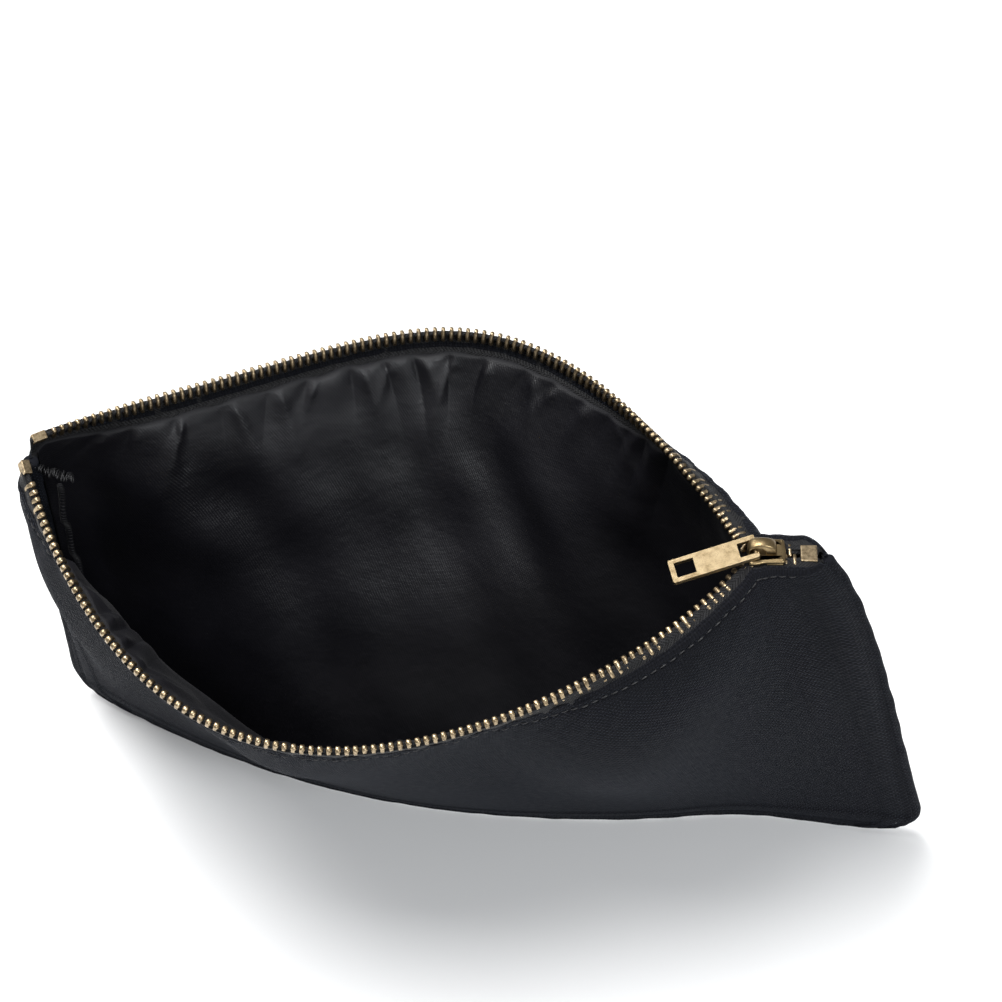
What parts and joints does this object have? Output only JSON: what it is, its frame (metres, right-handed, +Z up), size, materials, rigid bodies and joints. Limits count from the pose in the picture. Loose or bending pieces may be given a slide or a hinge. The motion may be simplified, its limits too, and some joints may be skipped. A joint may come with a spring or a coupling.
{
  "type": "zipper pouch",
  "caption": "Flat canvas zipper pouch for cash deposits, lined, standing open, with a metal zipper, a sliding slider and a hinged pull tab.",
  "frame": {"origin": "middle of the bottom seam's underside", "axes": "+X along the slider's travel towards the closed end, +Y towards the back panel, +Z up"},
  "size_m": [0.2742, 0.1408, 0.155],
  "materials": {
    "canvas": "matte plain-weave cotton canvas",
    "lining": "glossy satin",
    "tape": "woven herringbone zipper tape",
    "thread": "polyester thread",
    "brass": "antique brass",
    "slider_metal": "antique brass",
    "tab_metal": "antique brass, mottled"
  },
  "bodies": {
    "bag": {"front_panel": "canvas", "back_panel": "canvas", "front_lining": "lining", "back_lining": "lining", "front_tape": "tape", "back_tape": "tape", "front_tape_cord": "tape", "back_tape_cord": "tape", "front_teeth": "brass", "back_teeth": "brass", "front_top_stop": "brass", "back_top_stop": "brass", "bottom_stop": "brass", "left_side_seam": "canvas", "right_side_seam": "canvas", "bottom_seam": "canvas", "front_stitching": "thread", "back_stitching": "thread", "left_lining_seam": "lining", "right_lining_seam": "lining", "left_bartack": "thread"},
    "slider": {"slider_body": "slider_metal", "slider_crown": "slider_metal"},
    "pull_tab": {"pull_tab": "tab_metal"}
  },
  "joints": [
    {"name": "slider_travel", "type": "slide", "parent": "bag", "child": "slider", "axis": [-1, 0, 0], "range_m": [0, 0.2], "deforming": ["front_panel", "back_panel", "front_lining", "back_lining", "front_tape", "back_tape", "front_tape_cord", "back_tape_cord", "front_teeth", "back_teeth", "front_top_stop", "back_top_stop", "left_side_seam", "right_side_seam", "front_stitching", "back_stitching", "left_lining_seam", "right_lining_seam", "left_bartack"]},
    {"name": "tab_hinge", "type": "hinge", "parent": "slider", "child": "pull_tab", "pos_m": [0.071, -0.01311, 0.1524], "axis": [-0.2079, 0.9781, 0], "range_deg": [0, 150]}
  ]
}
